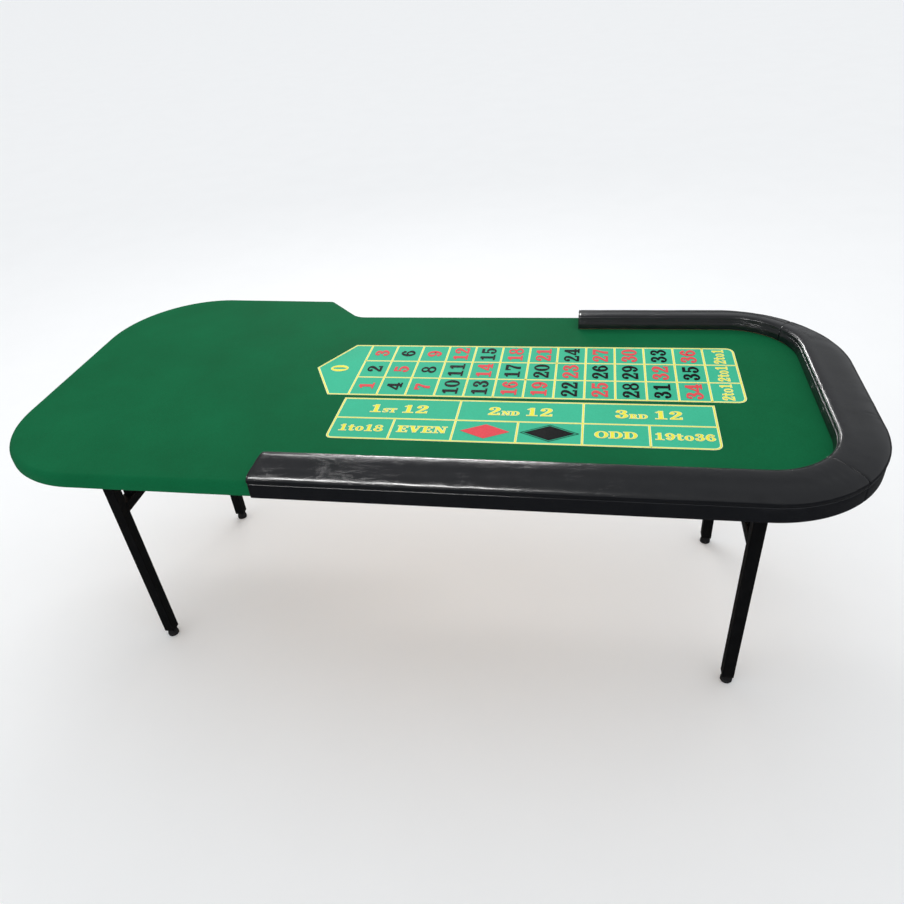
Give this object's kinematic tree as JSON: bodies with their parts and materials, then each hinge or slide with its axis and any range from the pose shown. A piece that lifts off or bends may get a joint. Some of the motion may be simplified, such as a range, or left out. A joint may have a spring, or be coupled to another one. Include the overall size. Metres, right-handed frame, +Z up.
{
  "type": "roulette table",
  "caption": "Long rounded table top with a printed green playing cloth, a padded black rail round the play end and two folding steel leg frames with slotted stays and levelling feet.",
  "frame": {"origin": "on the floor, below the middle of the top's bounding box", "axes": "+X along the table from the bare wheel end to the railed play end, +Y towards the dealer's side with the notch, +Z up"},
  "size_m": [2.44, 1.13, 0.888],
  "materials": {
    "cloth": "felted wool blend, matt",
    "foam": "open-cell foam",
    "plywood": "bare birch plywood",
    "leatherette": "semi-gloss, fine grain",
    "black_steel": "black powder coat, satin",
    "hardware": "zinc plated",
    "dark_steel": "black zinc",
    "foot_rubber": "matt",
    "plug": "moulded"
  },
  "bodies": {
    "top": {"cloth": "cloth", "underlay": "foam", "edge_foam": "foam", "front_rail_foam": "foam", "end_rail_foam": "foam", "back_rail_foam": "foam", "board": "plywood", "edge_band": "plywood", "front_rail_core": "plywood", "end_rail_core": "plywood", "back_rail_core": "plywood", "front_rail_cover": "leatherette", "end_rail_cover": "leatherette", "back_rail_cover": "leatherette", "edge_band_screws": "hardware", "rail_screws": "hardware", "left_brackets": "dark_steel", "left_bracket_screws": "hardware", "left_hinge_bolts": "hardware", "left_stay_tabs": "dark_steel", "left_tab_screws": "hardware", "left_tab_rivets": "hardware", "right_brackets": "dark_steel", "right_bracket_screws": "hardware", "right_hinge_bolts": "hardware", "right_stay_tabs": "dark_steel", "right_tab_screws": "hardware", "right_tab_rivets": "hardware"},
    "left_frame": {"left_front_leg": "black_steel", "left_back_leg": "black_steel", "left_cross_tube": "black_steel", "left_posts": "black_steel", "left_hinge_tube": "black_steel", "left_hinge_plugs": "dark_steel", "left_foot_plugs": "plug", "left_stay_rivets": "hardware"},
    "left_upper_stays": {"left_upper_links": "dark_steel", "left_knee_pins": "hardware"},
    "left_lower_stays": {"left_lower_links": "dark_steel"},
    "left_front_foot": {"left_front_foot": "foot_rubber"},
    "left_back_foot": {"left_back_foot": "foot_rubber"},
    "right_frame": {"right_front_leg": "black_steel", "right_back_leg": "black_steel", "right_cross_tube": "black_steel", "right_posts": "black_steel", "right_hinge_tube": "black_steel", "right_hinge_plugs": "dark_steel", "right_foot_plugs": "plug", "right_stay_rivets": "hardware"},
    "right_upper_stays": {"right_upper_links": "dark_steel", "right_knee_pins": "hardware"},
    "right_lower_stays": {"right_lower_links": "dark_steel"},
    "right_front_foot": {"right_front_foot": "foot_rubber"},
    "right_back_foot": {"right_back_foot": "foot_rubber"}
  },
  "joints": [
    {"name": "left_frame_fold", "type": "hinge", "parent": "top", "child": "left_frame", "pos_m": [-0.932, 0, 0.792], "axis": [0, -1, 0], "range_deg": [0, 90]},
    {"name": "left_upper_stay", "type": "hinge", "parent": "top", "child": "left_upper_stays", "pos_m": [-0.813, 0, 0.7945], "axis": [0, -1, 0], "range_deg": [0, 139]},
    {"name": "left_lower_stay", "type": "hinge", "parent": "left_frame", "child": "left_lower_stays", "pos_m": [-0.932, 0, 0.707], "axis": [0, -1, 0], "range_deg": [-124, 0]},
    {"name": "left_front_foot_screw", "type": "slide", "parent": "left_frame", "child": "left_front_foot", "axis": [0, 0, -1], "range_m": [0, 0.012]},
    {"name": "left_back_foot_screw", "type": "slide", "parent": "left_frame", "child": "left_back_foot", "axis": [0, 0, -1], "range_m": [0, 0.012]},
    {"name": "right_frame_fold", "type": "hinge", "parent": "top", "child": "right_frame", "pos_m": [0.932, 0, 0.792], "axis": [0, 1, 0], "range_deg": [0, 90]},
    {"name": "right_upper_stay", "type": "hinge", "parent": "top", "child": "right_upper_stays", "pos_m": [0.813, 0, 0.7945], "axis": [0, 1, 0], "range_deg": [0, 139]},
    {"name": "right_lower_stay", "type": "hinge", "parent": "right_frame", "child": "right_lower_stays", "pos_m": [0.932, 0, 0.707], "axis": [0, 1, 0], "range_deg": [-124, 0]},
    {"name": "right_front_foot_screw", "type": "slide", "parent": "right_frame", "child": "right_front_foot", "axis": [0, 0, -1], "range_m": [0, 0.012]},
    {"name": "right_back_foot_screw", "type": "slide", "parent": "right_frame", "child": "right_back_foot", "axis": [0, 0, -1], "range_m": [0, 0.012]}
  ],
  "couplings": [
    {"joint": "left_upper_stay", "follows": "left_frame_fold", "ratio": 1.5415},
    {"joint": "left_lower_stay", "follows": "left_frame_fold", "ratio": -1.3725},
    {"joint": "right_upper_stay", "follows": "right_frame_fold", "ratio": 1.5415},
    {"joint": "right_lower_stay", "follows": "right_frame_fold", "ratio": -1.3725}
  ]
}
